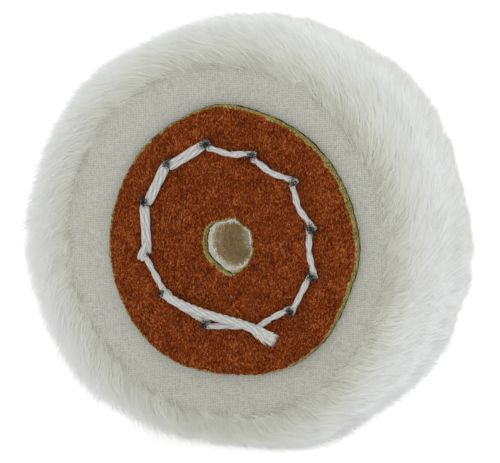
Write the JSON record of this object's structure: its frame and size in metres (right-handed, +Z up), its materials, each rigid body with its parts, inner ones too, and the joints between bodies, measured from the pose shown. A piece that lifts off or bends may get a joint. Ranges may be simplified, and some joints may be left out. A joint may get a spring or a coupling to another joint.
{
  "type": "stitched cotton polishing wheel",
  "caption": "Round cotton cloth polishing wheel with a fluffy rim, a stitched leather disc on each face and a plain spindle hole through the middle.",
  "frame": {"origin": "centre of the spindle hole, at the middle of the cloth stack's thickness", "axes": "+Y along the wheel's axis from the front face to the rear face, +Z up with the wheel standing on its rim, +X to the right seen from the front"},
  "size_m": [0.1016, 0.0291, 0.1016],
  "materials": {
    "cotton_cloth": "matte",
    "suede_leather": "matte",
    "cotton_twine": "matte"
  },
  "bodies": {
    "root": {"cotton_ply_01": "cotton_cloth", "cotton_ply_02": "cotton_cloth", "cotton_ply_03": "cotton_cloth", "cotton_ply_04": "cotton_cloth", "cotton_ply_05": "cotton_cloth", "cotton_ply_06": "cotton_cloth", "cotton_ply_07": "cotton_cloth", "cotton_ply_08": "cotton_cloth", "cotton_ply_09": "cotton_cloth", "cotton_ply_10": "cotton_cloth", "cotton_ply_11": "cotton_cloth", "cotton_ply_12": "cotton_cloth", "cotton_ply_13": "cotton_cloth", "cotton_ply_14": "cotton_cloth", "cotton_ply_15": "cotton_cloth", "cotton_ply_16": "cotton_cloth", "cotton_ply_17": "cotton_cloth", "cotton_ply_18": "cotton_cloth", "cotton_ply_19": "cotton_cloth", "cotton_ply_20": "cotton_cloth", "cotton_ply_21": "cotton_cloth", "cotton_ply_22": "cotton_cloth", "cotton_ply_23": "cotton_cloth", "cotton_ply_24": "cotton_cloth", "cotton_ply_25": "cotton_cloth", "cotton_ply_26": "cotton_cloth", "cotton_ply_27": "cotton_cloth", "cotton_ply_28": "cotton_cloth", "cotton_ply_29": "cotton_cloth", "cotton_ply_30": "cotton_cloth", "cotton_ply_31": "cotton_cloth", "cotton_ply_32": "cotton_cloth", "cotton_ply_33": "cotton_cloth", "cotton_ply_34": "cotton_cloth", "cotton_ply_35": "cotton_cloth", "cotton_ply_36": "cotton_cloth", "cotton_ply_37": "cotton_cloth", "cotton_ply_38": "cotton_cloth", "cotton_ply_39": "cotton_cloth", "cotton_ply_40": "cotton_cloth", "cotton_ply_41": "cotton_cloth", "cotton_ply_42": "cotton_cloth", "cotton_ply_43": "cotton_cloth", "cotton_ply_44": "cotton_cloth", "cotton_ply_45": "cotton_cloth", "cotton_ply_46": "cotton_cloth", "cotton_ply_47": "cotton_cloth", "cotton_ply_48": "cotton_cloth", "cotton_ply_49": "cotton_cloth", "cotton_ply_50": "cotton_cloth", "leather_disc_front": "suede_leather", "leather_disc_rear": "suede_leather", "stitching_twine": "cotton_twine", "twine_tail": "cotton_twine"}
  },
  "joints": []
}
